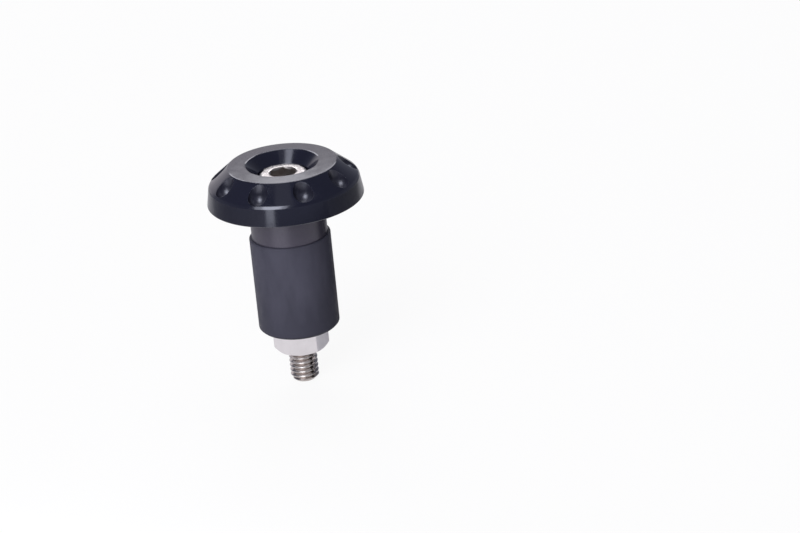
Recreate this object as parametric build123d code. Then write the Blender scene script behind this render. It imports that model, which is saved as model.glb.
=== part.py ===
from build123d import *
import os
from math import radians, tan

# Bar end weight for a tubular handlebar. A turned cap closes the end of the bar. A socket screw
# runs through the cap and a rubber sleeve into a nut, and draws the nut up, so that the sleeve is
# pressed short and swells until it grips the bore of the bar.
# All sizes are in millimetres. The origin is on the axis, in the plane where the back of the cap
# meets the end of the bar. +Z points out of the bar, towards the face of the cap.

# End cap, turned from one bar of aluminium with its spigot
CAP_DIAMETER = 32.1            # at the back, before its edge is broken
CAP_HEIGHT = 7.7               # from the back to the flat outer face
RIM_TOP_DIAMETER = 30.8        # the rim tapers a little up to here, where the cone starts
RIM_HEIGHT = 4.0
FACE_DIAMETER = 22.0           # flat outer face, where the cone ends
DISH_DIAMETER = 15.1           # mouth of the countersunk dish in the face
DISH_ANGLE = 90.0              # included angle of the dish, in degrees
SPIGOT_DIAMETER = 15.6         # collar that enters the bar and backs the sleeve
SPIGOT_LENGTH = 7.9
BACK_EDGE = 0.15               # bevel of the rim at the back
RIM_EDGE = 0.33                # bevel between rim and cone
FACE_EDGE = 0.15               # bevel between cone and face
DISH_EDGE = 0.12               # bevel of the dish's mouth
SPIGOT_EDGE = 0.1              # bevel of the spigot's free end

# Ring of blind holes, drilled parallel to the axis into the cone
DIMPLE_COUNT = 9
DIMPLE_CIRCLE_DIAMETER = 26.7  # through the axes of the holes
DIMPLE_DIAMETER = 4.0
DIMPLE_DEPTH = 1.35            # full diameter, below the cone at the hole's own axis
DRILL_POINT_ANGLE = 118.0      # included angle of the drill's point, in degrees

# Socket head cap screw, M6
SCREW_DIAMETER = 6.0           # plain shank under the head
THREAD_DIAMETER = 5.9          # outside of the thread, shown as a plain cylinder
SCREW_LENGTH = 40.0            # below the head
THREAD_LENGTH = 24.0
TIP_CHAMFER = 0.8
HEAD_DIAMETER = 10.0
HEAD_HEIGHT = 6.0
HEAD_EDGE = 0.6                # bevel of the head's top edge
HEAD_SINK = 2.0                # top of the head below the face of the cap
SOCKET_WIDTH = 5.0             # across the flats of the hexagon
SOCKET_DEPTH = 3.0
SOCKET_MOUTH_DIAMETER = 6.0    # round chamfer at the mouth of the hexagon
SOCKET_TURN = 22.6             # angle of one corner of the hexagon from +X, in degrees

# Rubber sleeve between the spigot and the nut
SLEEVE_DIAMETER = 16.7
SLEEVE_LENGTH = 20.4
SLEEVE_TOP_EDGE = 0.1          # bevel next to the spigot
SLEEVE_END_EDGE = 0.6          # wider bevel next to the nut, which leads into the bar

# Hexagon nut, M6
NUT_WIDTH = 10.0               # across the flats
NUT_HEIGHT = 5.0
NUT_FACE_DIAMETER = 9.5        # round bearing face left by the corner chamfer
NUT_CHAMFER_ANGLE = 30.0       # of the corner chamfer from the bearing face, in degrees
NUT_MOUTH_DIAMETER = 6.75      # countersink at each end of the thread
NUT_TURN = -4.9                # angle of one corner of the nut from +X, in degrees

# Clearances, all on the radius
HEAD_CLEARANCE = 0.25          # screw head in its counterbore
SHANK_CLEARANCE = 0.3          # screw in the cap's bore
SLEEVE_CLEARANCE = 0.2         # screw in the sleeve
THREAD_CLEARANCE = 0.05        # screw thread in the nut

# Radii and heights that follow from the sizes above
counterbore_radius = HEAD_DIAMETER / 2 + HEAD_CLEARANCE
bore_radius = SCREW_DIAMETER / 2 + SHANK_CLEARANCE
sleeve_bore_radius = SCREW_DIAMETER / 2 + SLEEVE_CLEARANCE
nut_bore_radius = THREAD_DIAMETER / 2 + THREAD_CLEARANCE
head_top_z = CAP_HEIGHT - HEAD_SINK
screw_seat_z = head_top_z - HEAD_HEIGHT
screw_tip_z = screw_seat_z - SCREW_LENGTH
sleeve_top_z = -SPIGOT_LENGTH
sleeve_end_z = sleeve_top_z - SLEEVE_LENGTH
nut_end_z = sleeve_end_z - NUT_HEIGHT


def turned(corners):
    """Revolve a closed outline about the Z axis.

    Each corner is a radius, a height and the length of the bevel along both of its sides.
    """
    with BuildPart() as piece:
        with BuildSketch(Plane.XZ) as outline:
            with BuildLine():
                Polyline([(radius, height) for radius, height, _ in corners], close=True)
            make_face()
            for radius, height, bevel in corners:
                if bevel:
                    corner = outline.vertices().sort_by_distance((radius, height))[0]
                    chamfer(corner, bevel)
        revolve(axis=Axis.Z)
    return piece.part


def hexagon(width, turn, bottom_z, height):
    """Upright hexagonal prism, sized across its flats, with one corner at the angle turn."""
    with BuildPart() as prism:
        with BuildSketch(Plane.XY.offset(bottom_z)):
            RegularPolygon(width / 2, side_count=6, major_radius=False, rotation=turn)
        extrude(amount=height)
    return prism.part


def drill():
    """Outline of the drill for one dimple, standing on its point."""
    radius = DIMPLE_DIAMETER / 2
    cone_slope = (CAP_HEIGHT - RIM_HEIGHT) / (RIM_TOP_DIAMETER / 2 - FACE_DIAMETER / 2)
    cone_z = RIM_HEIGHT + (RIM_TOP_DIAMETER / 2 - DIMPLE_CIRCLE_DIAMETER / 2) * cone_slope
    shoulder_z = cone_z - DIMPLE_DEPTH
    point_z = shoulder_z - radius / tan(radians(DRILL_POINT_ANGLE / 2))
    return turned([
        (0, point_z, 0),
        (radius, shoulder_z, 0),
        (radius, CAP_HEIGHT, 0),
        (0, CAP_HEIGHT, 0),
    ])


def end_cap():
    """Cap with its spigot, bored for the screw, with the dish and the ring of dimples."""
    dish_depth = (DISH_DIAMETER / 2 - counterbore_radius) / tan(radians(DISH_ANGLE / 2))
    body = turned([
        (bore_radius, sleeve_top_z, 0),
        (SPIGOT_DIAMETER / 2, sleeve_top_z, SPIGOT_EDGE),
        (SPIGOT_DIAMETER / 2, 0, 0),
        (CAP_DIAMETER / 2, 0, BACK_EDGE),
        (RIM_TOP_DIAMETER / 2, RIM_HEIGHT, RIM_EDGE),
        (FACE_DIAMETER / 2, CAP_HEIGHT, FACE_EDGE),
        (DISH_DIAMETER / 2, CAP_HEIGHT, DISH_EDGE),
        (counterbore_radius, CAP_HEIGHT - dish_depth, 0),
        (counterbore_radius, screw_seat_z, 0),
        (bore_radius, screw_seat_z, 0),
    ])
    return body - PolarLocations(DIMPLE_CIRCLE_DIAMETER / 2, DIMPLE_COUNT) * drill()


def clamp_screw():
    """Socket head cap screw with a chamfered tip."""
    thread_radius = THREAD_DIAMETER / 2
    thread_start_z = screw_tip_z + THREAD_LENGTH
    body = turned([
        (0, screw_tip_z, 0),
        (thread_radius - TIP_CHAMFER, screw_tip_z, 0),
        (thread_radius, screw_tip_z + TIP_CHAMFER, 0),
        (thread_radius, thread_start_z, 0),
        (SCREW_DIAMETER / 2, thread_start_z, 0),
        (SCREW_DIAMETER / 2, screw_seat_z, 0),
        (HEAD_DIAMETER / 2, screw_seat_z, 0),
        (HEAD_DIAMETER / 2, head_top_z, HEAD_EDGE),
        (0, head_top_z, 0),
    ])
    socket_floor_z = head_top_z - SOCKET_DEPTH
    mouth_radius = SOCKET_MOUTH_DIAMETER / 2
    floor_radius = SOCKET_WIDTH / 2
    socket = hexagon(SOCKET_WIDTH, SOCKET_TURN, socket_floor_z, SOCKET_DEPTH)
    mouth = turned([
        (0, head_top_z - mouth_radius, 0),
        (mouth_radius, head_top_z, 0),
        (0, head_top_z, 0),
    ])
    floor = turned([
        (0, socket_floor_z - floor_radius / tan(radians(DRILL_POINT_ANGLE / 2)), 0),
        (floor_radius, socket_floor_z, 0),
        (0, socket_floor_z, 0),
    ])
    return body - socket - mouth - floor


def rubber_sleeve():
    """Plain rubber tube with bevelled outer edges."""
    return turned([
        (sleeve_bore_radius, sleeve_end_z, 0),
        (SLEEVE_DIAMETER / 2, sleeve_end_z, SLEEVE_END_EDGE),
        (SLEEVE_DIAMETER / 2, sleeve_top_z, SLEEVE_TOP_EDGE),
        (sleeve_bore_radius, sleeve_top_z, 0),
    ])


def clamp_nut():
    """Hexagon nut. Two cones, base to base, trim its corners, and both ends are countersunk."""
    face_radius = NUT_FACE_DIAMETER / 2
    mouth_radius = NUT_MOUTH_DIAMETER / 2
    mouth_depth = mouth_radius - nut_bore_radius
    middle_z = (sleeve_end_z + nut_end_z) / 2
    cones_meet_radius = face_radius + NUT_HEIGHT / 2 / tan(radians(NUT_CHAMFER_ANGLE))
    ring = turned([
        (nut_bore_radius, nut_end_z + mouth_depth, 0),
        (mouth_radius, nut_end_z, 0),
        (face_radius, nut_end_z, 0),
        (cones_meet_radius, middle_z, 0),
        (face_radius, sleeve_end_z, 0),
        (mouth_radius, sleeve_end_z, 0),
        (nut_bore_radius, sleeve_end_z - mouth_depth, 0),
    ])
    return ring & hexagon(NUT_WIDTH, NUT_TURN, nut_end_z, NUT_HEIGHT)


os.makedirs("parts", exist_ok=True)
export_step(end_cap(), "parts/end_cap.step")
export_step(clamp_screw(), "parts/clamp_screw.step")
export_step(rubber_sleeve(), "parts/rubber_sleeve.step")
export_step(clamp_nut(), "parts/clamp_nut.step")
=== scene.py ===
# %% [markdown]
# # A bar end weight
# A bar end weight closes the open end of a motorcycle's handlebar. Its black cap stays outside, and
# behind it a rubber sleeve sits between the cap's spigot and a nut. Turning the screw draws the nut up,
# and the sleeve swells until it grips the bore of the bar.
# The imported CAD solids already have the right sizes, but they are plain: they have no thread, and their
# edges are cut with a ruler. This lesson builds each of the four pieces again as a finer mesh around
# the same axis, gives it a finish made of shader nodes, and lights it as a small product picture.

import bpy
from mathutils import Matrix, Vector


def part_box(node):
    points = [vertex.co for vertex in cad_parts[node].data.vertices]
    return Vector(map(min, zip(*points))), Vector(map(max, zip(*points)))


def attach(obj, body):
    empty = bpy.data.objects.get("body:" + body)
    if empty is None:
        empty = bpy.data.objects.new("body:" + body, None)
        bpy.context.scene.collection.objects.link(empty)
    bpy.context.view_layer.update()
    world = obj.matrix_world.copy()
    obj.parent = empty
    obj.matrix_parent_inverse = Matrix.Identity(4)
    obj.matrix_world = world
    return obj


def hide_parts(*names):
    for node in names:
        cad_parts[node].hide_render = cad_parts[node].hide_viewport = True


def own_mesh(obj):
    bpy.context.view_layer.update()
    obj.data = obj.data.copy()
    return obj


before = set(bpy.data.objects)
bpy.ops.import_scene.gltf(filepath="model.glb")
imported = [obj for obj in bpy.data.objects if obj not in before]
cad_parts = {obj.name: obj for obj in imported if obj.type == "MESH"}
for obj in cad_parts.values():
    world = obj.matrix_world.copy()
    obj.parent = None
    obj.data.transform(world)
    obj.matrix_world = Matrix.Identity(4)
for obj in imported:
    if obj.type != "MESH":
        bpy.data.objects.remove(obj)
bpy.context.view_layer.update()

# %% [markdown]
# ## The camera
# The camera comes first, because all later choices are judged through it. It could be turned by hand
# until the outlines agree. Here it was fitted to them: it looks down at the cap by almost 23 degrees
# through a long lens, and it is rolled, because the part leans a little in the picture. The place of
# the part's origin is known as seen by the camera, to its left, above it and far ahead. So the camera
# is turned first, and then pushed back along its own axes by that much.

# %% Place the camera
from math import asin, ceil, cos, floor, pi, radians, sin, sqrt, tan

import bpy
from mathutils import Matrix, Vector

CAMERA_AZIMUTH = -7.2
CAMERA_ELEVATION = 22.823
CAMERA_ROLL = -5.542
CAMERA_OFFSET = (0.023230, -0.014025, 0.711867)
SENSOR_WIDTH = 36.0
LENS_LENGTH = 157.5

scene = bpy.context.scene
camera = bpy.data.objects.new("camera", bpy.data.cameras.new("camera"))
camera.data.sensor_width = SENSOR_WIDTH
camera.data.lens = LENS_LENGTH
camera_turn = (
    Matrix.Rotation(radians(CAMERA_AZIMUTH), 4, "Z")
    @ Matrix.Rotation(radians(90 - CAMERA_ELEVATION), 4, "X")
    @ Matrix.Rotation(radians(CAMERA_ROLL), 4, "Z")
)
camera.matrix_world = camera_turn @ Matrix.Translation(CAMERA_OFFSET)
scene.collection.objects.link(camera)
scene.camera = camera
scene.view_settings.view_transform = "Standard"
print("camera at", tuple(round(x, 3) for x in camera.matrix_world.translation), "m")

# %% [markdown]
# ## Outlines with softened bevels
# Every piece here came off a lathe, out of a round mould or out of a thread roller, so an outline of
# radius and height tells most of its shape. A perfectly sharp edge never catches light, and that is
# what makes plain models look false. So each outline is a list of corners with the length of a bevel.
# A bevel modifier could cut them after the mesh is made. Cutting the flat outline first is exact and
# gives clean rows of faces. The bevel is cut straight, as a lathe tool does, and its two new corners
# are bent a little, as deburring leaves them.

# %% Helpers for outlines
MM = 0.001
SOFT_SHARE = 0.3
SOFT_STEPS = 4


def bend(corner, before, after):
    """Points of a soft bend in place of a corner, from corner + before to corner + after."""
    shares = [step / SOFT_STEPS for step in range(SOFT_STEPS + 1)]
    return [corner + before * (1 - share) ** 2 + after * share**2 for share in shares]


def rounded(corners):
    """Points of an open outline whose corners are bent.

    Each corner is a radius, a height and how far its bend reaches along both sides.
    """
    points = []
    for i, (radius, height, reach) in enumerate(corners):
        here = Vector((radius, height))
        if not reach:
            points.append(here)
            continue
        before = (Vector(corners[i - 1][:2]) - here).normalized() * reach
        after = (Vector(corners[i + 1][:2]) - here).normalized() * reach
        points += bend(here, before, after)
    return points


def bevelled(corners):
    """Corners of an outline after its bevels are cut.

    Each corner is a radius, a height and the length of its bevel along both sides. A bevel becomes
    two corners that are bent a little.
    """
    cut = []
    for i, (radius, height, bevel) in enumerate(corners):
        if not bevel:
            cut.append((radius, height, 0))
            continue
        here = Vector((radius, height))
        for other in (corners[i - 1], corners[i + 1]):
            there = here + (Vector(other[:2]) - here).normalized() * bevel
            cut.append((there.x, there.y, bevel * SOFT_SHARE))
    return cut


example = rounded(bevelled([(0, 0, 0), (1, 0, 0.2), (1, 1, 0)]))
print("one bevelled corner takes", len(example) - 2, "points")

# %% [markdown]
# ## From an outline to a skin
# Blender's screw modifier would spin an outline, and that is fine for a plain tube. The nut and the
# key socket have six sides, though, and the cap needs gaps in its skin for the drilled holes. So the
# skin is laid by hand with bmesh: one column of points for each angle, and faces between neighbouring
# columns. The outline may differ from angle to angle, which makes a hexagon as easy as a circle.
# Points that fall together, as on the axis, are welded when the piece is finished.

# %% Helpers for skins
import bmesh

WELD = 2e-7
SHARP_ANGLE = radians(38)


def turn_angles(count, first=0.0):
    """Evenly spaced angles of one full turn, in radians, from first in degrees."""
    return [radians(first) + 2 * pi * i / count for i in range(count)]


def point(radius, angle, height):
    """Place in metres of a point given by its radius and height in millimetres."""
    return Vector((radius * cos(angle), radius * sin(angle), height)) * MM


def lay_skin(mesh, columns, seam_rows=0, second_finish_row=None):
    """Lay faces between columns of points all round.

    At the seam, the last column meets the first seam_rows higher. Rows from second_finish_row on
    get the piece's second finish.
    """
    grid = [[mesh.verts.new(place) for place in column] for column in columns]
    for i, here in enumerate(grid):
        is_seam = i == len(grid) - 1
        there = grid[(i + 1) % len(grid)]
        lift = seam_rows if is_seam else 0
        for row in range(len(here) - 1 - lift):
            beside = row + lift
            face = mesh.faces.new((here[row], there[beside], there[beside + 1], here[row + 1]))
            face.material_index = int(second_finish_row is not None and row >= second_finish_row)


def lathe(mesh, angles, outline_at):
    """Lay the skin of an outline, given as a function of the angle."""
    lay_skin(mesh, [[point(r, angle, z) for r, z in outline_at(angle)] for angle in angles])


def finish_piece(name, mesh, finish, body, node):
    """Weld and smooth a bmesh, make it an object and let it stand for a CAD node."""
    bmesh.ops.remove_doubles(mesh, verts=mesh.verts, dist=WELD)
    bmesh.ops.recalc_face_normals(mesh, faces=mesh.faces)
    for face in mesh.faces:
        face.smooth = True
    open_edges = 0
    for edge in mesh.edges:
        if not edge.is_manifold:
            open_edges += 1
        elif edge.calc_face_angle() > SHARP_ANGLE:
            edge.smooth = False
    piece = bpy.data.objects.new(name, bpy.data.meshes.new(name))
    mesh.to_mesh(piece.data)
    mesh.free()
    piece.data.materials.append(finish)
    scene.collection.objects.link(piece)
    piece.modifiers.new("even_normals", "WEIGHTED_NORMAL").keep_sharp = True
    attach(piece, body)
    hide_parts(node)
    print(f"{name}: {len(piece.data.polygons)} faces, {open_edges} open edges")
    return piece


print("edges over", round(SHARP_ANGLE * 180 / pi), "degrees stay sharp")

# %% [markdown]
# ## Helpers for finishes
# A finish is a tree of shader nodes around one Principled BSDF. Values that are the same all over are
# set on the shader's own sockets. Nodes are only used for what changes over the surface: colour,
# roughness and the small relief that the bump node turns into light and shade. Such a tree could be
# drawn by hand in the shader editor. Written down, its branches can be shared between finishes, so these
# helpers add a node, set its values and link it in one line.

# %% Helpers for shader nodes


def new_finish(name, **sockets):
    """Material with its Principled BSDF, whose sockets are set by name."""
    finish = bpy.data.materials.new(name)
    finish.use_nodes = True
    shader = finish.node_tree.nodes["Principled BSDF"]
    for label, value in sockets.items():
        shader.inputs[label.replace("_", " ")].default_value = value
    return finish, shader


def add_node(tree, kind, values=None, **settings):
    """Shader node with its settings and the values of its inputs.

    A value that is a socket is linked.
    """
    node = tree.nodes.new(kind)
    for label, value in settings.items():
        setattr(node, label, value)
    for label, value in (values or {}).items():
        if isinstance(value, bpy.types.NodeSocket):
            tree.links.new(value, node.inputs[label])
        else:
            node.inputs[label].default_value = value
    return node


def link(tree, source, shader, label):
    """Let a socket set one of the shader's own."""
    tree.links.new(source, shader.inputs[label])


def calculate(tree, operation, *values):
    """Result of a math node."""
    node = add_node(tree, "ShaderNodeMath", dict(enumerate(values)), operation=operation)
    return node.outputs["Value"]


print("materials before the first finish:", len(bpy.data.materials))

# %% [markdown]
# ## Places, grain and relief
# Most real surfaces wander a little in colour and gloss. Images could show that, but they need
# unwrapping and blur close up. So a finish reads the place on the piece, in metres in the part's own
# frame, and turns it into noise whose spots have a size in metres too. Noise mostly stays between 0.3
# and 0.7, so that stretch of it is what becomes colour and roughness, and all of it becomes relief.

# %% Helpers for grain
NOISE_EDGES = (0.3, 0.7)
SPOTS_PER_CELL = 2


def object_place(tree):
    """Place on the piece, in metres in the part's own frame."""
    return add_node(tree, "ShaderNodeTexCoord").outputs["Object"]


def height_of(tree, place):
    """Height of a place, or of the tip of a direction."""
    return add_node(tree, "ShaderNodeSeparateXYZ", {"Vector": place}).outputs["Z"]


def axis_distance(tree, place):
    """Distance of a place from the part's axis."""
    flat = add_node(tree, "ShaderNodeVectorMath", {0: place, 1: (1, 1, 0)}, operation="MULTIPLY")
    length = add_node(tree, "ShaderNodeVectorMath", {0: flat.outputs["Vector"]}, operation="LENGTH")
    return length.outputs["Value"]


def grain(tree, size, detail=2.0, stretch=(1, 1, 1)):
    """Noise from 0 to 1 whose spots are about size metres across.

    A small stretch along an axis makes the spots longer that way.
    """
    mapping = add_node(tree, "ShaderNodeMapping", {"Vector": object_place(tree), "Scale": stretch})
    scale = 1 / (SPOTS_PER_CELL * size)
    values = {"Vector": mapping.outputs["Vector"], "Scale": scale, "Detail": detail}
    return add_node(tree, "ShaderNodeTexNoise", values).outputs["Fac"]


def spread(tree, value, low, high, start=NOISE_EDGES[0], end=NOISE_EDGES[1]):
    """Rescale a value that runs from start to end, such as noise, to run from low to high."""
    values = {"Value": value, "From Min": start, "From Max": end, "To Min": low, "To Max": high}
    return add_node(tree, "ShaderNodeMapRange", values).outputs["Result"]


def tint(tree, value, dark, light):
    """Colour that runs from dark to light with a noise value."""
    ramp = add_node(tree, "ShaderNodeValToRGB", {"Fac": value})
    for stop, position, colour in zip(ramp.color_ramp.elements, NOISE_EDGES, (dark, light)):
        stop.position = position
        stop.color = (*colour, 1)
    return ramp.outputs["Color"]


def relief(tree, height, depth):
    """Bump of a height from 0 to 1 that is depth metres deep."""
    values = {"Height": height, "Distance": depth, "Strength": 1.0}
    return add_node(tree, "ShaderNodeBump", values).outputs["Normal"]


print("noise is read from", NOISE_EDGES[0], "to", NOISE_EDGES[1])

# %% [markdown]
# ## Black anodising
# The cap is aluminium that was turned, and then anodised and dyed black. The oxide is a clear, hard
# layer with the dye in its pores, so it reflects as glossy black plastic does, a little more strongly,
# and not as bare metal. A metallic shader with a dark colour would lose its bright rims. Under the
# gloss, the lathe tool's marks still run round the axis. They are far finer than a pixel, so most of
# their work is done by anisotropy, which stretches highlights across them. A noise in one dimension
# adds single lines that are deeper than the rest. It is read along a mix of height and radius, which
# changes on the upright rim, on the cone and on the flat face alike.

# %% Finish of the cap
TOOL_MARK = 0.09 * MM
TOOL_MARK_DEPTH = 0.0006 * MM
RADIUS_SHARE = -0.37
OXIDE_TINT = (0.87, 0.88, 1.0, 1)
DYE_DARK = (0.0070, 0.0075, 0.0170)
DYE_LIGHT = (0.0090, 0.0095, 0.0210)
DYE_PATCH = 3.0 * MM
HANDLED_PATCH = 1.2 * MM
GLOSS_ROUGHNESS = (0.10, 0.16)

black_anodised, shader = new_finish(
    "black_anodised", IOR=1.75, Specular_Tint=OXIDE_TINT, Anisotropic=0.35
)
tree = black_anodised.node_tree
place = object_place(tree)
along = calculate(tree, "MULTIPLY_ADD", axis_distance(tree, place), RADIUS_SHARE, height_of(tree, place))
lines = add_node(
    tree,
    "ShaderNodeTexNoise",
    {"W": along, "Scale": 1 / TOOL_MARK, "Detail": 1.0},
    noise_dimensions="1D",
)
round_axis = add_node(tree, "ShaderNodeTangent", direction_type="RADIAL", axis="Z")
handling = grain(tree, HANDLED_PATCH, detail=4.0)
link(tree, relief(tree, lines.outputs["Fac"], TOOL_MARK_DEPTH), shader, "Normal")
link(tree, round_axis.outputs["Tangent"], shader, "Tangent")
link(tree, tint(tree, grain(tree, DYE_PATCH), DYE_DARK, DYE_LIGHT), shader, "Base Color")
link(tree, spread(tree, handling, *GLOSS_ROUGHNESS), shader, "Roughness")
print("finish:", black_anodised.name)

# %% [markdown]
# ## The cap's turned skin
# The cap is a low mushroom: a rim that tapers a little, a cone, a flat face with a dish in the middle,
# and behind it the spigot that enters the bar. All of it except the cone is one outline, followed from
# the cone's upper edge over the face, down the dish and the screw's counterbore, through the bore and
# back round the spigot and rim to the cone's lower edge. The cone itself is left open for the next step:
# the outline's two end points lie on it, only give the bevels their direction, and are dropped.
# The face is domed by a hair, as facing cuts are, which gives its reflection a front and a back.

# %% Turn the cap
CAP_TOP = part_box("end_cap")[1].z / MM
SPIGOT_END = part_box("end_cap")[0].z / MM
CAP_RADIUS = 16.05
BACK_BEVEL = 0.15
RIM_TOP_RADIUS = 15.4
RIM_HEIGHT = 4.0
RIM_BEVEL = 0.33
FACE_RADIUS = 11.0
FACE_BEVEL = 0.08
FACE_DOME = 0.11
DISH_RADIUS = 7.55
DISH_BEVEL = 0.12
DISH_FLOOR_BEVEL = 0.05
COUNTERBORE_RADIUS = 5.25
DISH_FLOOR = CAP_TOP - (DISH_RADIUS - COUNTERBORE_RADIUS)
SCREW_SEAT = -0.3
BORE_RADIUS = 3.3
BORE_BEVEL = 0.1
SPIGOT_RADIUS = 7.8
SPIGOT_BEVEL = 0.04
HOLE_COUNT = 9
COLUMNS_PER_HOLE = 24

cone_slope = (CAP_TOP - RIM_HEIGHT) / (RIM_TOP_RADIUS - FACE_RADIUS)
face_edge = FACE_RADIUS + FACE_DOME / cone_slope
cap_corners = [
    (face_edge + 1, CAP_TOP - FACE_DOME - cone_slope, 0),
    (face_edge, CAP_TOP - FACE_DOME, FACE_BEVEL),
    (DISH_RADIUS, CAP_TOP, DISH_BEVEL),
    (COUNTERBORE_RADIUS, DISH_FLOOR, DISH_FLOOR_BEVEL),
    (COUNTERBORE_RADIUS, SCREW_SEAT, 0),
    (BORE_RADIUS, SCREW_SEAT, 0),
    (BORE_RADIUS, SPIGOT_END, BORE_BEVEL),
    (SPIGOT_RADIUS, SPIGOT_END, SPIGOT_BEVEL),
    (SPIGOT_RADIUS, 0, 0),
    (CAP_RADIUS, 0, BACK_BEVEL),
    (RIM_TOP_RADIUS, RIM_HEIGHT, RIM_BEVEL),
    (RIM_TOP_RADIUS - 1, RIM_HEIGHT + cone_slope, 0),
]
cap_outline = rounded(bevelled(cap_corners))[1:-1]
hole_pitch = 360 / HOLE_COUNT
cap_angles = turn_angles(HOLE_COUNT * COLUMNS_PER_HOLE, -hole_pitch / 2)
cap = bmesh.new()
lathe(cap, cap_angles, lambda angle: cap_outline)
print("outline of", len(cap_outline), "points, cone left open from", cap_outline[0], "to", cap_outline[-1])

# %% [markdown]
# ## Nine round-bottomed holes
# Nine shallow blind holes are sunk straight down, parallel to the axis, into the sloping cone. The cutter
# has a ball nose, so each hole has a round wall that runs smoothly into a bowl. On the high side of the
# cone the mouth is as wide as the cutter. On the low side the bowl comes out before its full width, so
# the distance from the hole's axis to its mouth has to be searched for in each direction. It could be
# solved on paper, but halving a span until it is tiny is shorter and just as exact.

# %% Shape of one hole
HOLE_CIRCLE_RADIUS = 13.35
HOLE_RADIUS = 2.0
HOLE_BOTTOM = 3.17
HALVINGS = 40

ball_centre = HOLE_BOTTOM + HOLE_RADIUS
hole_axis = Vector((HOLE_CIRCLE_RADIUS, 0))


def cone_height(place):
    """Height of the cone over a place in plan."""
    return RIM_HEIGHT + (RIM_TOP_RADIUS - place.length) * cone_slope


def mouth_reach(direction):
    """Distance from the hole's axis to its mouth, by halving."""
    low, high = 0.0, HOLE_RADIUS
    for _ in range(HALVINGS):
        middle = (low + high) / 2
        bowl = ball_centre - sqrt(HOLE_RADIUS**2 - middle**2)
        if bowl < cone_height(hole_axis + direction * middle):
            low = middle
        else:
            high = middle
    return low


print("mouth from", round(HOLE_CIRCLE_RADIUS - mouth_reach(Vector((-1, 0))), 2), end=" ")
print("to", round(HOLE_CIRCLE_RADIUS + mouth_reach(Vector((1, 0))), 2), "mm off the cap's axis")

# %% [markdown]
# ## Two duller finishes
# The ball nose cuts slowly near its middle and leaves a fine scallop, and the anodising copies it. So the
# bowls are duller than the turned skin and spread the lamps out into soft spots. Their colour is painted a
# little lighter and bluer than the cap's, as painted light in the shade of the holes. The spigot is hidden
# in the bar and gets no fine finishing cut, so it is duller too. Its colour is painted much greyer than
# the cap's, as painted light where the cap shades it, and it looks satin beside the gloss of the cap. Both
# could be the cap's own finish with other numbers, but rings don't suit a bowl. So they share a finish of
# their own, with a fine grain instead of rings.

# %% Finishes of the bowls and the spigot
TONE_PATCH = 1.0 * MM
DULL_PATCH = 0.3 * MM
SCALLOP = 0.08 * MM
SCALLOP_DEPTH = 0.0008 * MM


def dull_anodised(name, dark, light, gloss, dullness, **sockets):
    """Anodising without rings. Its colour and roughness wander, each between two values."""
    finish, shader = new_finish(name, **sockets)
    tree = finish.node_tree
    link(tree, tint(tree, grain(tree, TONE_PATCH), dark, light), shader, "Base Color")
    link(tree, spread(tree, grain(tree, DULL_PATCH), gloss, dullness), shader, "Roughness")
    link(tree, relief(tree, grain(tree, SCALLOP), SCALLOP_DEPTH), shader, "Normal")
    print("finish:", name)
    return finish


# Painted light: the bowls' colour is lighter and bluer than the cap's dye.
matt_anodised_painted_light = dull_anodised(
    "matt_anodised_painted_light",
    dark=(0.0190, 0.0190, 0.0320),
    light=(0.0230, 0.0230, 0.0375),
    gloss=0.28,
    dullness=0.35,
    IOR=1.80,
    Specular_Tint=OXIDE_TINT,
)
# Painted light: the spigot's colour is much greyer than the cap's dye, where the cap shades it.
satin_anodised_painted_light = dull_anodised(
    "satin_anodised_painted_light",
    dark=(0.060, 0.052, 0.079),
    light=(0.068, 0.060, 0.089),
    gloss=0.285,
    dullness=0.36,
    IOR=1.65,
    Specular_Tint=(0.93, 0.90, 1.0, 1),
)

# %% [markdown]
# ## A web round each hole
# A boolean modifier would cut the holes, but it leaves long thin faces round each mouth, and on a gloss
# surface those show as streaks. So each ninth of the cone is laid as a web instead. Its outer thread is
# the edge of that ninth, its inner thread is the mouth of the hole, and rows of faces run from one to
# the other, over a rounded lip, down the wall and along the bowl to its lowest point. The rows from the
# lip inwards get the bowls' finish, and what lies behind the cap gets the spigot's.

# %% Points of one web
LIP_REACH = 0.02
LIP_FOOT = 1.3
WEB_STEPS = 5
BOWL_STEPS = 9


def web_column(edge):
    """Points from a place on the edge of one ninth of the cone, in plan, to the bottom of the hole."""
    direction = (edge - hole_axis).normalized()
    reach = mouth_reach(direction)
    mouth = hole_axis + direction * reach
    span = (edge - mouth).length
    lip = min(LIP_REACH, span / 2)
    wall = max(0.0, cone_height(mouth) - ball_centre)
    first_turn = asin(max(0.0, ball_centre - cone_height(mouth)) / HOLE_RADIUS)
    length = wall + HOLE_RADIUS * (pi / 2 - first_turn)

    def on_cone(distance):
        place = mouth + direction * distance
        return Vector((place.x, place.y, cone_height(place)))

    def in_hole(distance):
        if distance < wall:
            return on_cone(0) - Vector((0, 0, distance))
        turn = first_turn + (distance - wall) / HOLE_RADIUS
        place = hole_axis + direction * HOLE_RADIUS * cos(turn)
        return Vector((place.x, place.y, ball_centre - HOLE_RADIUS * sin(turn)))

    column = [on_cone(lip + (span - lip) * (1 - i / WEB_STEPS)) for i in range(WEB_STEPS)]
    corner = on_cone(0)
    column += bend(corner, on_cone(lip) - corner, in_hole(lip) - corner)
    foot = max(wall, LIP_FOOT * lip)
    column += [in_hole(foot + (length - foot) * i / BOWL_STEPS) for i in range(BOWL_STEPS + 1)]
    return column


print("a column of the web has", len(web_column(Vector((RIM_TOP_RADIUS, 0)))), "points")

# %% Lay the cone with its holes
SIDE_STEPS = 8
SPIGOT_FINISH = 2


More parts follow.
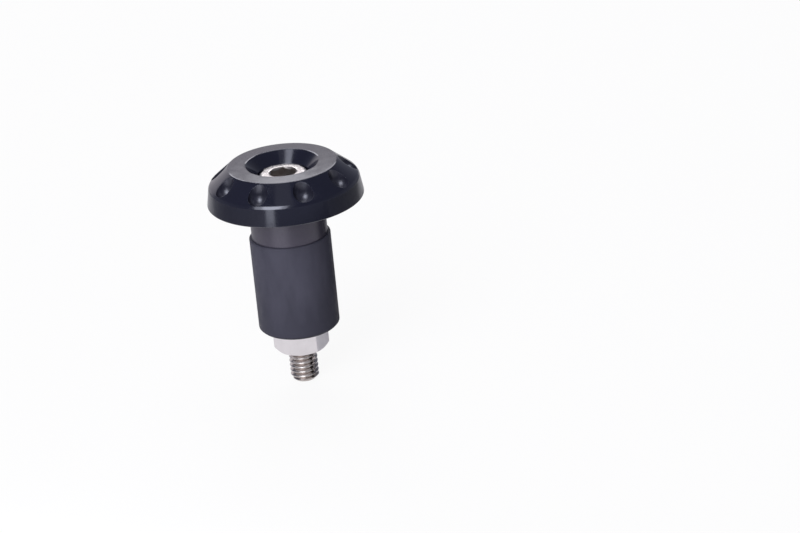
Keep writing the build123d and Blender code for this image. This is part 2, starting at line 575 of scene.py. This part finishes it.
def ninth_edge(top_radius, bottom_radius):
    """Corner by corner round one ninth of the cone in plan, as points at equal steps."""
    half = radians(hole_pitch / 2)
    across = [half * (2 * i / COLUMNS_PER_HOLE - 1) for i in range(COLUMNS_PER_HOLE)]
    side = [i / SIDE_STEPS for i in range(SIDE_STEPS)]
    edge = [(bottom_radius, angle) for angle in across]
    edge += [(bottom_radius + (top_radius - bottom_radius) * share, half) for share in side]
    edge += [(top_radius, -angle) for angle in across]
    edge += [(top_radius + (bottom_radius - top_radius) * share, -half) for share in side]
    return [Vector((radius * cos(angle), radius * sin(angle))) for radius, angle in edge]


web = [web_column(edge) for edge in ninth_edge(cap_outline[0].x, cap_outline[-1].x)]
for hole in range(HOLE_COUNT):
    spin = Matrix.Rotation(radians(hole_pitch * hole), 3, "Z")
    columns = [[spin @ place * MM for place in column] for column in web]
    lay_skin(cap, columns, second_finish_row=WEB_STEPS + SOFT_STEPS)
for face in cap.faces:
    if face.calc_center_median().z < 0:
        face.material_index = SPIGOT_FINISH
turned_cap = finish_piece("turned_cap", cap, black_anodised, "cap", "end_cap")
turned_cap.data.materials.append(matt_anodised_painted_light)
turned_cap.data.materials.append(satin_anodised_painted_light)

# %% [markdown]
# ## Grey rubber
# The sleeve is hard black rubber, but it is not really black: talc from the mould and fine scuffs leave
# a grey bloom. A single dark grey would look like plastic. So the colour wanders a little between two
# greys, the surface is dull, and a fine leathery relief breaks up its shine. The colour is also painted
# darker towards the free end and lighter towards the spigot, as painted shade and light, so the height
# along the axis is added to the bloom.

# %% Finish of the sleeve
SLEEVE_LOW, SLEEVE_HIGH = (corner.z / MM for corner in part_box("rubber_sleeve"))
RUBBER_DARK = (0.071, 0.069, 0.094)
RUBBER_LIGHT = (0.102, 0.099, 0.133)
RUBBER_ROUGHNESS = (0.42, 0.58)
BLOOM_PATCH = 2.0 * MM
BLOOM_STRETCH = (1, 1, 0.35)
SCUFF = 0.6 * MM
LEATHER_GRAIN = 0.12 * MM
LEATHER_DEPTH = 0.006 * MM
HEIGHT_SHADE_SHARE = 0.28

grey_rubber, shader = new_finish("grey_rubber", Specular_IOR_Level=0.12)
tree = grey_rubber.node_tree
height = height_of(tree, object_place(tree))
# Painted shade and light: the colour gets darker towards the free end and lighter towards the spigot.
painted_shade_by_height = spread(tree, height, -HEIGHT_SHADE_SHARE, HEIGHT_SHADE_SHARE, SLEEVE_LOW * MM, SLEEVE_HIGH * MM)
bloom = grain(tree, BLOOM_PATCH, detail=5.0, stretch=BLOOM_STRETCH)
bloom_and_painted_shade = calculate(tree, "ADD", bloom, painted_shade_by_height)
leather = grain(tree, LEATHER_GRAIN, detail=3.0)
link(tree, tint(tree, bloom_and_painted_shade, RUBBER_DARK, RUBBER_LIGHT), shader, "Base Color")
link(tree, spread(tree, grain(tree, SCUFF), *RUBBER_ROUGHNESS), shader, "Roughness")
link(tree, relief(tree, leather, LEATHER_DEPTH), shader, "Normal")
print("finish:", grey_rubber.name)

# %% [markdown]
# ## The rubber sleeve
# The sleeve is a plain moulded tube with bevelled ends, so its outline is short. When the nut is drawn
# up, the sleeve is pressed shorter. Shape keys could show that, but here a joint has to drive it. This
# cell only gives the piece a mesh of its own.

# %% Mould the sleeve
SLEEVE_RADIUS = 8.35
SLEEVE_BORE = 3.2
SLEEVE_BORE_BEVEL = 0.1
SLEEVE_TOP_BEVEL = 0.22
SLEEVE_END_BEVEL = 0.6
SLEEVE_COLUMNS = 180

sleeve_corners = [
    (SLEEVE_BORE, SLEEVE_HIGH, 0),
    (SLEEVE_BORE, SLEEVE_LOW, SLEEVE_BORE_BEVEL),
    (SLEEVE_RADIUS, SLEEVE_LOW, SLEEVE_END_BEVEL),
    (SLEEVE_RADIUS, SLEEVE_HIGH, SLEEVE_TOP_BEVEL),
    (SLEEVE_BORE, SLEEVE_HIGH, 0),
]
sleeve_outline = rounded(bevelled(sleeve_corners))
sleeve = bmesh.new()
lathe(sleeve, turn_angles(SLEEVE_COLUMNS), lambda angle: sleeve_outline)
rubber_tube = finish_piece("rubber_tube", sleeve, grey_rubber, "cap", "rubber_sleeve")
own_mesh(rubber_tube)

# %% [markdown]
# ## A rolled thread
# The screw's thread is a metric one: six millimetres across, one millimetre from crest to crest, with
# sides at 60 degrees. A bump texture would look flat at the outline, where a thread shows most. So it
# is laid as a skin whose columns each start a little higher than the one before, and after one turn
# they have climbed by one pitch. There the last column meets the first one pitch higher, and crests
# and roots run along rows of edges. Beyond each end the points are held at that end, and weld there.

# %% Helper for threads
PITCH = 1.0
THREAD_DEPTH = 0.613
THREAD_FORM = (
    (0.00, 0.0),
    (0.05, 0.02),
    (0.09, 0.06),
    (0.13, 0.14),
    (0.40, 0.93),
    (0.45, 1.0),
    (0.55, 1.0),
    (0.60, 0.93),
    (0.87, 0.14),
    (0.91, 0.06),
    (0.95, 0.02),
)
THREAD_START_TURN = 0.43
TURNS_BELOW = 3
TURNS_ABOVE = 2


def lay_thread(mesh, angles, low, high, radius_at):
    """Lay a right-hand thread from low to high. radius_at takes a height and a share of the depth."""
    first = floor(low / PITCH) - TURNS_BELOW
    last = ceil(high / PITCH) + TURNS_ABOVE
    columns = []
    for angle in angles:
        column = []
        for turn in range(first, last):
            for phase, depth in THREAD_FORM:
                height = PITCH * (turn + phase + THREAD_START_TURN + angle / (2 * pi))
                held = min(max(height, low), high)
                column.append(point(radius_at(held, depth), angle, held))
        columns.append(column)
    lay_skin(mesh, columns, seam_rows=len(THREAD_FORM))


print("thread form of", len(THREAD_FORM), "points a turn")

# %% [markdown]
# ## Hexagons with soft corners
# A hexagon is a circle whose radius depends on the angle. At the middle of a flat it is half the width,
# and it grows towards the corners. Near a corner the radius follows a small arc instead, because no
# forged or broached corner is sharp. A cylinder with six sides and a bevel modifier would do for a plain
# nut, but here the same columns also have to meet a round thread.

# %% Helper for hexagons


def hexagon_radius(angle, width, turn, rounding):
    """Radius of a hexagon with rounded corners at an angle in radians.

    Width is across the flats, and turn is the angle of a corner in degrees.
    """
    off_corner = (angle - radians(turn) + radians(30)) % radians(60) - radians(30)
    flat = width / 2 / cos(radians(30) - abs(off_corner))
    centre = (width / 2 - rounding) / cos(radians(30))
    side = centre * sin(off_corner)
    if abs(side) >= rounding:
        return flat
    return min(flat, centre * cos(off_corner) + sqrt(rounding**2 - side**2))


print("a soft hexagon 10 mm wide has", round(2 * hexagon_radius(0, 10, 0, 0.3), 2), "mm over its corners")

# %% [markdown]
# ## The screw's steel
# The steel is bright but not polished. Rolling and tumbling leave it with a soft gloss and a slightly
# warm tone. The thread's roots are painted darker and warmer than its crests, as painted shade in the
# recesses between them. A mask could be painted for that, but the distance from the axis already tells
# roots from crests, so the shader reads that. The broached socket has its own darker, rougher finish,
# and its darker colour is painted shade in the socket.

# %% Finishes of the screw
ROOT_SHADE_RADIUS = 2.35
SHADE_END_RADIUS = 2.85
ROOT_SHADE_DARK = (0.46, 0.395, 0.37)
ROOT_SHADE_LIGHT = (0.54, 0.475, 0.45)
CREST_DARK = (0.56, 0.53, 0.525)
CREST_LIGHT = (0.66, 0.625, 0.62)
STEEL_PATCH = 0.8 * MM
STEEL_SCUFF = 0.4 * MM
STEEL_ROUGHNESS = (0.16, 0.265)
STEEL_GRAIN = 0.15 * MM
STEEL_DEPTH = 0.002 * MM
SOCKET_SHADE_DARK = (0.36, 0.33, 0.32)
SOCKET_SHADE_LIGHT = (0.46, 0.43, 0.42)
SOCKET_PATCH = 0.5 * MM
SOCKET_SCUFF = 0.3 * MM
SOCKET_ROUGHNESS = (0.28, 0.40)
FIRST_COLOUR = 6
SECOND_COLOUR = 7
MIXED_COLOUR = 2


def mix_colours(tree, share, first, second):
    """Colour that goes from first to second with a share. A mix node numbers its colour sockets."""
    values = {"Factor": share, FIRST_COLOUR: first, SECOND_COLOUR: second}
    return add_node(tree, "ShaderNodeMix", values, data_type="RGBA").outputs[MIXED_COLOUR]


screw_steel_root_shade, shader = new_finish("screw_steel_root_shade", Metallic=1.0)
tree = screw_steel_root_shade.node_tree
radius = axis_distance(tree, object_place(tree))
# Painted shade: the colour darkens from the crests towards the thread's roots.
out_of_root_shade = spread(tree, radius, 0, 1, ROOT_SHADE_RADIUS * MM, SHADE_END_RADIUS * MM)
tone = grain(tree, STEEL_PATCH, detail=3.0)
root_shade_steel = tint(tree, tone, ROOT_SHADE_DARK, ROOT_SHADE_LIGHT)
crest_steel = tint(tree, tone, CREST_DARK, CREST_LIGHT)
link(tree, mix_colours(tree, out_of_root_shade, root_shade_steel, crest_steel), shader, "Base Color")
link(tree, spread(tree, grain(tree, STEEL_SCUFF), *STEEL_ROUGHNESS), shader, "Roughness")
link(tree, relief(tree, grain(tree, STEEL_GRAIN), STEEL_DEPTH), shader, "Normal")

# Painted shade: the socket's colour is darker than the screw's steel.
socket_steel_shade, shader = new_finish("socket_steel_shade", Metallic=1.0)
tree = socket_steel_shade.node_tree
link(tree, tint(tree, grain(tree, SOCKET_PATCH), SOCKET_SHADE_DARK, SOCKET_SHADE_LIGHT), shader, "Base Color")
link(tree, spread(tree, grain(tree, SOCKET_SCUFF), *SOCKET_ROUGHNESS), shader, "Roughness")
print("finishes:", screw_steel_root_shade.name, "and", socket_steel_shade.name)

# %% [markdown]
# ## The socket screw
# It is a stock part: a cap screw with a plain shank, a rolled thread, a bevelled tip, and a hexagonal
# key socket with a countersunk mouth and a drilled floor. Its head sits in the cap's counterbore. A
# boolean would cut the socket. Here the outline simply goes on over the head into the socket, where its
# radius is that of a hexagon, so head and socket are one clean skin.

# %% Make the screw
SHANK_RADIUS = 3.0
THREAD_RADIUS = 2.95
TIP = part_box("clamp_screw")[0].z / MM
HEAD_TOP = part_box("clamp_screw")[1].z / MM
THREAD_LENGTH = 24.0
THREAD_TOP = TIP + THREAD_LENGTH
THREAD_SHOULDER = 0.1
THREAD_FADE = 1.2
TIP_BEVEL = 0.8
HEAD_RADIUS = 5.0
HEAD_BEVEL = 0.6
HEAD_FOOT_BEVEL = 0.2
SOCKET_WIDTH = 5.0
SOCKET_DEPTH = 3.0
SOCKET_TURN = 22.6
SOCKET_CORNER = 0.15
SOCKET_MOUTH = 2.9
SOCKET_MOUTH_BEVEL = 0.08
SOCKET_WALL_BEVEL = 0.05
DRILL_RADIUS = 2.3
DRILL_POINT_ANGLE = 118
POINT_SLOPE = tan(radians(90 - DRILL_POINT_ANGLE / 2))
SCREW_COLUMNS = 144


def screw_outline(angle):
    """Outline from the end of the thread over the head to the bottom of the socket."""
    key = hexagon_radius(angle, SOCKET_WIDTH, SOCKET_TURN, SOCKET_CORNER)
    socket_floor = HEAD_TOP - SOCKET_DEPTH
    corners = [
        (THREAD_RADIUS, THREAD_TOP, 0),
        (SHANK_RADIUS, THREAD_TOP + THREAD_SHOULDER, 0),
        (SHANK_RADIUS, SCREW_SEAT, HEAD_FOOT_BEVEL),
        (HEAD_RADIUS, SCREW_SEAT, HEAD_FOOT_BEVEL),
        (HEAD_RADIUS, HEAD_TOP, HEAD_BEVEL),
        (SOCKET_MOUTH, HEAD_TOP, SOCKET_MOUTH_BEVEL),
        (key, HEAD_TOP - (SOCKET_MOUTH - key), SOCKET_WALL_BEVEL),
        (key, socket_floor, 0),
        (DRILL_RADIUS, socket_floor, 0),
        (0, socket_floor - DRILL_RADIUS * POINT_SLOPE, 0),
    ]
    return rounded(bevelled(corners))


def screw_thread(height, depth):
    """Radius of the thread, which fades out at its top and is bevelled at the tip."""
    fade = min(1.0, (THREAD_TOP - height) / THREAD_FADE)
    return min(THREAD_RADIUS - THREAD_DEPTH * depth * fade, THREAD_RADIUS - TIP_BEVEL + height - TIP)


screw_angles = turn_angles(SCREW_COLUMNS, SOCKET_TURN)
screw = bmesh.new()
lathe(screw, screw_angles, screw_outline)
lay_thread(screw, screw_angles, TIP, THREAD_TOP, screw_thread)
lathe(screw, screw_angles, lambda angle: [(THREAD_RADIUS - TIP_BEVEL, TIP), (0, TIP)])
# Faces inside the socket get the finish whose darker colour is painted shade.
for face in screw.faces:
    place = face.calc_center_median() / MM
    face.material_index = int(place.xy.length < SOCKET_MOUTH and place.z > SCREW_SEAT)
socket_screw = finish_piece(
    "socket_screw", screw, screw_steel_root_shade, "screw", "clamp_screw"
)
socket_screw.data.materials.append(socket_steel_shade)

# %% [markdown]
# ## The nut's plating
# The nut is plated, bright and a little soft, and paler than the screw. A perfect mirror would show the
# edges of lamps and cards too sharply. So its tone wanders a little, its roughness stays low but is
# never zero, and a relief less than a thousandth of a millimetre deep bends what it mirrors.

# %% Finish of the nut
PLATING_DARK = (0.79, 0.75, 0.78)
PLATING_LIGHT = (0.85, 0.81, 0.84)
PLATING_PATCH = 1.5 * MM
PLATING_SCUFF = 0.5 * MM
PLATING_ROUGHNESS = (0.13, 0.20)
PLATING_GRAIN = 0.2 * MM
PLATING_DEPTH = 0.0008 * MM

nut_plating, shader = new_finish("nut_plating", Metallic=1.0)
tree = nut_plating.node_tree
tone = grain(tree, PLATING_PATCH, detail=3.0)
link(tree, tint(tree, tone, PLATING_DARK, PLATING_LIGHT), shader, "Base Color")
link(tree, spread(tree, grain(tree, PLATING_SCUFF), *PLATING_ROUGHNESS), shader, "Roughness")
link(tree, relief(tree, grain(tree, PLATING_GRAIN), PLATING_DEPTH), shader, "Normal")
print("finish:", nut_plating.name)

# %% [markdown]
# ## The nut
# The nut is cold formed, with a chamfer that trims its corners at both ends and leaves the curved
# edges that every nut has. A hexagon cut by two cones would give them. As an outline, the chamfer just
# reaches further along the side where the hexagon is wider. Its thread has the screw's own form, set a
# little further out, so the two stay in step: one turn of the screw moves the nut by one pitch, and no
# crest passes through another.

# %% Make the nut
NUT_LOW, NUT_HIGH = (corner.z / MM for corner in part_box("clamp_nut"))
NUT_WIDTH = 10.0
NUT_TURN = -4.9
NUT_CORNER = 0.35
NUT_FACE_RADIUS = 4.75
NUT_FACE_BEND = 0.08
NUT_SIDE_BEND = 0.1
NUT_MOUTH_RADIUS = 3.375
NUT_CHAMFER_SLOPE = tan(radians(30))
NUT_COLUMNS = 144
THREAD_PLAY = 0.06


def nut_outline(angle):
    """Outline from the thread's upper mouth round the outside to its lower mouth."""
    outside = hexagon_radius(angle, NUT_WIDTH, NUT_TURN, NUT_CORNER)
    trim = (outside - NUT_FACE_RADIUS) * NUT_CHAMFER_SLOPE
    corners = [
        (NUT_MOUTH_RADIUS, NUT_HIGH, 0),
        (NUT_FACE_RADIUS, NUT_HIGH, NUT_FACE_BEND),
        (outside, NUT_HIGH - trim, NUT_SIDE_BEND),
        (outside, NUT_LOW + trim, NUT_SIDE_BEND),
        (NUT_FACE_RADIUS, NUT_LOW, NUT_FACE_BEND),
        (NUT_MOUTH_RADIUS, NUT_LOW, 0),
    ]
    return rounded(corners)


def nut_thread(height, depth):
    """Radius of the thread, which is countersunk at both ends."""
    mouth = NUT_MOUTH_RADIUS - min(height - NUT_LOW, NUT_HIGH - height)
    return max(THREAD_RADIUS + THREAD_PLAY - THREAD_DEPTH * depth, mouth)


nut_angles = turn_angles(NUT_COLUMNS, NUT_TURN)
nut = bmesh.new()
lathe(nut, nut_angles, nut_outline)
lay_thread(nut, nut_angles, NUT_LOW, NUT_HIGH, nut_thread)
hex_nut = finish_piece("hex_nut", nut, nut_plating, "nut", "clamp_nut")

# %% [markdown]
# ## The floor
# The part stands on a plain white table, tip down. A square plane would do. A round one is as simple,
# and its edge is equally far away on all sides, so no corner of it shows in the gloss of the cap.

# %% Lay the floor
TABLE_RADIUS = 0.40
TABLE_CORNERS = 128

table_skin = bmesh.new()
bmesh.ops.create_circle(table_skin, cap_ends=True, segments=TABLE_CORNERS, radius=TABLE_RADIUS)
bmesh.ops.translate(table_skin, verts=table_skin.verts, vec=(0, 0, TIP * MM))
table = bpy.data.objects.new("table", bpy.data.meshes.new("table"))
table_skin.to_mesh(table.data)
table_skin.free()
scene.collection.objects.link(table)
print("table at", round(TIP, 1), "mm")

# %% [markdown]
# ## The table's paint
# A white table in a picture is seldom pure white, and more light on it would burn out the steel. So its
# paint mixes plain shading with an even white for what the camera and mirror-like surfaces see, and the
# shading keeps a soft shadow under the part. Light that bounces off a wide white table would fill all
# shades from below, so for that light the paint is darker. In mirrors the far side of the table gets less
# of the even white, a painted shade that stands in for a table lit from the front, and so the faces of the
# nut differ in tone.

# %% Helpers for rays


def seen_directly(tree, by_camera, by_mirror):
    """A share for rays from the camera, another for mirror-like surfaces and glass, and 0 for others."""
    path = add_node(tree, "ShaderNodeLightPath").outputs
    mirrored = calculate(tree, "MAXIMUM", path["Is Glossy Ray"], path["Is Transmission Ray"])
    mirrored_share = calculate(tree, "MULTIPLY", mirrored, by_mirror)
    return calculate(tree, "MULTIPLY_ADD", path["Is Camera Ray"], by_camera, mirrored_share)


def how_far_along(tree, place, direction):
    """How far a place lies in a direction."""
    node = add_node(tree, "ShaderNodeVectorMath", {0: place, 1: direction}, operation="DOT_PRODUCT")
    return node.outputs["Value"]


def mix_shaders(tree, share, first, second):
    """Shader that goes from first to second with a share."""
    return add_node(tree, "ShaderNodeMixShader", {"Fac": share, 1: first, 2: second}).outputs["Shader"]


to_far_side = Matrix.Rotation(radians(CAMERA_AZIMUTH), 3, "Z") @ Vector((0, 1, 0))
print("the far side of the table lies towards", tuple(round(x, 2) for x in to_far_side))

# %% Paint the table
TABLE_COLOUR = (0.91, 0.89, 0.905, 1)
BOUNCE_COLOUR = (0.15, 0.145, 0.15, 1)
MIRRORED_PAINT = 0.6
TABLE_WHITENESS = 0.90
MIRRORED_WHITENESS = 0.64
FAR_SHADE_WHITENESS = 0.15
FAR_SHADE_EDGES = (0.0, 0.05)

white_table = bpy.data.materials.new("white_table")
white_table.use_nodes = True
tree = white_table.node_tree
tree.nodes.clear()
seen_paint = add_node(tree, "ShaderNodeBsdfDiffuse", {"Color": TABLE_COLOUR}).outputs["BSDF"]
bounce_paint = add_node(tree, "ShaderNodeBsdfDiffuse", {"Color": BOUNCE_COLOUR}).outputs["BSDF"]
white = add_node(tree, "ShaderNodeEmission", {"Color": (1, 1, 1, 1), "Strength": 1.0}).outputs["Emission"]
paint = mix_shaders(tree, seen_directly(tree, 1.0, MIRRORED_PAINT), bounce_paint, seen_paint)
behind = how_far_along(tree, object_place(tree), to_far_side)
# Painted shade: in mirrors the table gets less of the even white towards its far side.
mirrored_white_and_far_shade = spread(tree, behind, MIRRORED_WHITENESS, FAR_SHADE_WHITENESS, *FAR_SHADE_EDGES)
whiteness = seen_directly(tree, TABLE_WHITENESS, mirrored_white_and_far_shade)
add_node(tree, "ShaderNodeOutputMaterial", {"Surface": mix_shaders(tree, whiteness, paint, white)})
table.data.materials.append(white_table)
print("paint:", white_table.name)

# %% [markdown]
# ## The room
# A gloss black part shows little of its own colour. What is seen in it is the room, so the room is made
# with care: a dark ceiling, a paler horizon, and a pale wall behind the part, turned a little to the
# left. The face of the cap and the top of the screw mirror that wall, and the wall is seen by the same
# kinds of ray as the white of the table. A picture of a studio could be wrapped round the scene instead.
# Here two rules are enough: the height of a ray decides between horizon and ceiling, and how far it
# points to the wall decides between those and the wall.

# %% Make the room
CEILING = (0.11, 0.115, 0.145, 1)
HORIZON = (0.25, 0.26, 0.31, 1)
ROOM_EDGES = (0.10, 0.60)
WALL = (0.78, 0.745, 0.79, 1)
WALL_EDGES = (0.80, 0.93)
WALL_TURN = 15
WALL_TILT = 6

world = bpy.data.worlds.new("studio")
scene.world = world
world.use_nodes = True
tree = world.node_tree
tree.nodes.clear()
ray = add_node(tree, "ShaderNodeTexCoord").outputs["Generated"]
ceiling_share = spread(tree, height_of(tree, ray), 0, 1, *ROOM_EDGES)
gloom = mix_colours(tree, ceiling_share, HORIZON, CEILING)
to_wall = Vector((0, cos(radians(WALL_TILT)), sin(radians(WALL_TILT))))
to_wall.rotate(Matrix.Rotation(radians(CAMERA_AZIMUTH + WALL_TURN), 3, "Z"))
on_wall = spread(tree, how_far_along(tree, ray, to_wall), 0, 1, *WALL_EDGES)
wall_share = calculate(tree, "MULTIPLY", on_wall, seen_directly(tree, 1.0, 1.0))
darkness = add_node(tree, "ShaderNodeBackground", {"Color": gloom}).outputs["Background"]
wall = add_node(tree, "ShaderNodeBackground", {"Color": WALL}).outputs["Background"]
add_node(tree, "ShaderNodeOutputWorld", {"Surface": mix_shaders(tree, wall_share, darkness, wall)})
print("world:", world.name)

# %% [markdown]
# ## The lamps
# Eight area lamps stand round the table. Each is given by its angle from the camera, its height above
# the horizon and its brightness beside plain white, and its power follows from its area. The large one
# on the left is the key light, and its brighter heart draws the spots in the bowls. A narrow strip below
# them draws the upright streak on the rim, and one above them draws the streak in the dish. One behind
# the part brightens the face, which mirrors the back of the room. A wide one high above and a small one
# on the ceiling fill in, and a low one in front on the left draws the sheen on the spigot. Point lamps
# would be simpler, but gloss shows each lamp's shape, and only broad ones leave soft streaks.

# %% Hang the lamps
COOL_WHITE = (0.95, 0.97, 1.0)
LOW_WHITE = (0.95, 0.96, 1.0)


def around(azimuth, elevation, distance):
    """Place in the studio. Azimuth is in degrees to the right of the camera, as seen from the part."""
    away = Vector((0, -cos(radians(elevation)), sin(radians(elevation)))) * distance
    return Matrix.Rotation(radians(CAMERA_AZIMUTH + azimuth), 3, "Z") @ away


def hang_lamp(name, place, width, tall, brightness, colour=(1, 1, 1)):
    """Area lamp that faces the cap."""
    lamp = bpy.data.objects.new(name, bpy.data.lights.new(name, "AREA"))
    lamp.data.shape = "RECTANGLE"
    lamp.data.size = width
    lamp.data.size_y = tall
    lamp.data.color = colour
    lamp.data.energy = brightness * pi * width * tall
    lamp.location = place
    lamp.rotation_mode = "QUATERNION"
    lamp.rotation_quaternion = (-place).to_track_quat("-Z", "Y")
    lamp.visible_camera = False
    scene.collection.objects.link(lamp)
    print(f"{name}: {lamp.data.energy:.2f} W")


hang_lamp("key_lamp", around(-25, 38, 1.0), 0.80, 0.74, 2.5, COOL_WHITE)
hang_lamp("key_heart", around(-23, 38, 0.98), 0.42, 0.44, 3.3, COOL_WHITE)
hang_lamp("strip_lamp", around(-23, 11, 0.45), 0.10, 0.28, 2.0, COOL_WHITE)
hang_lamp("dish_lamp", around(-32, 64, 0.8), 0.36, 0.13, 2.7, COOL_WHITE)
hang_lamp("back_lamp", around(183, 37, 1.0), 0.8, 0.40, 3.2)
hang_lamp("top_lamp", around(180, 75, 1.0), 0.9, 0.6, 1.45)
hang_lamp("low_lamp", around(-26, -20, 0.09), 0.076, 0.026, 1.25, LOW_WHITE)
hang_lamp("ceiling_lamp", around(-8, 75, 1.0), 0.30, 0.20, 0.22)

# %% [markdown]
# ## Cards to mirror
# Bright steel needs something dark to mirror, or it looks like chalk, and black gloss needs something
# pale. More lamps would do the second but never the first, so photographers stand cards just outside the
# picture. Three long cards curve round the table: a pale one on the left, a dark one in front and a grey
# one on the right. Three short ones stand close to the part on its right: a dark one for the spigot, a
# pale one for the nut and a dark one beside the thread, which is a painted shadow: it stands in for the
# shadow on the table there. They are only there for mirror-like reflections: the camera doesn't see them,
# and they take no light away.

# %% Paper for the cards
PAPER_MOTTLE = 2.0 * MM


def card_paper(name, dark, light):
    """Paper with a little mottling between two greys."""
    paper, shader = new_finish(name, Roughness=0.8)
    tree = paper.node_tree
    link(tree, tint(tree, grain(tree, PAPER_MOTTLE), (dark,) * 3, (light,) * 3), shader, "Base Color")
    print("paper:", name)
    return paper


dark_paper = card_paper("dark_paper", 0.09, 0.12)
grey_paper = card_paper("grey_paper", 0.34, 0.38)
pale_paper = card_paper("pale_paper", 0.90, 0.94)

# %% Stand up the cards
CARD_DISTANCE = 0.17
NUT_CARD_DISTANCE = 0.016
THREAD_SHADOW_CARD_DISTANCE = 0.0044


def arc(first, last, step, distance):
    """Places round the part from one azimuth to another."""
    return [around(azimuth, 0, distance) for azimuth in range(first, last + 1, step)]


def stand_card(name, paper, places, high):
    """Card that stands on the table along a row of places, up to a height in metres."""
    card = bpy.data.objects.new(name, bpy.data.meshes.new(name))
    corners = [(place.x, place.y, level) for place in places for level in (TIP * MM, high)]
    sides = [(i, i + 2, i + 3, i + 1) for i in range(0, len(corners) - 2, 2)]
    card.data.from_pydata(corners, [], sides)
    card.data.materials.append(paper)
    scene.collection.objects.link(card)
    card.visible_camera = False
    card.visible_diffuse = False
    card.visible_shadow = False
    print(name, "of", len(sides), "sides")


collar_places = [around(88, 0, 0.038), around(112, 0, 0.043), around(137, 0, 0.048)]
stand_card("left_card", pale_paper, arc(-140, -30, 10, CARD_DISTANCE), -0.003)
stand_card("front_card", dark_paper, arc(-30, 60, 10, CARD_DISTANCE), -0.012)
stand_card("right_card", grey_paper, arc(60, 140, 10, CARD_DISTANCE), -0.012)
stand_card("collar_card", dark_paper, collar_places, -0.012)
stand_card("nut_card", pale_paper, arc(92, 122, 30, NUT_CARD_DISTANCE), -0.031)
# Painted shadow: this dark card beside the thread stands in for the shadow on the table there.
stand_card("thread_shadow_card", dark_paper, arc(45, 73, 14, THREAD_SHADOW_CARD_DISTANCE), -0.0335)
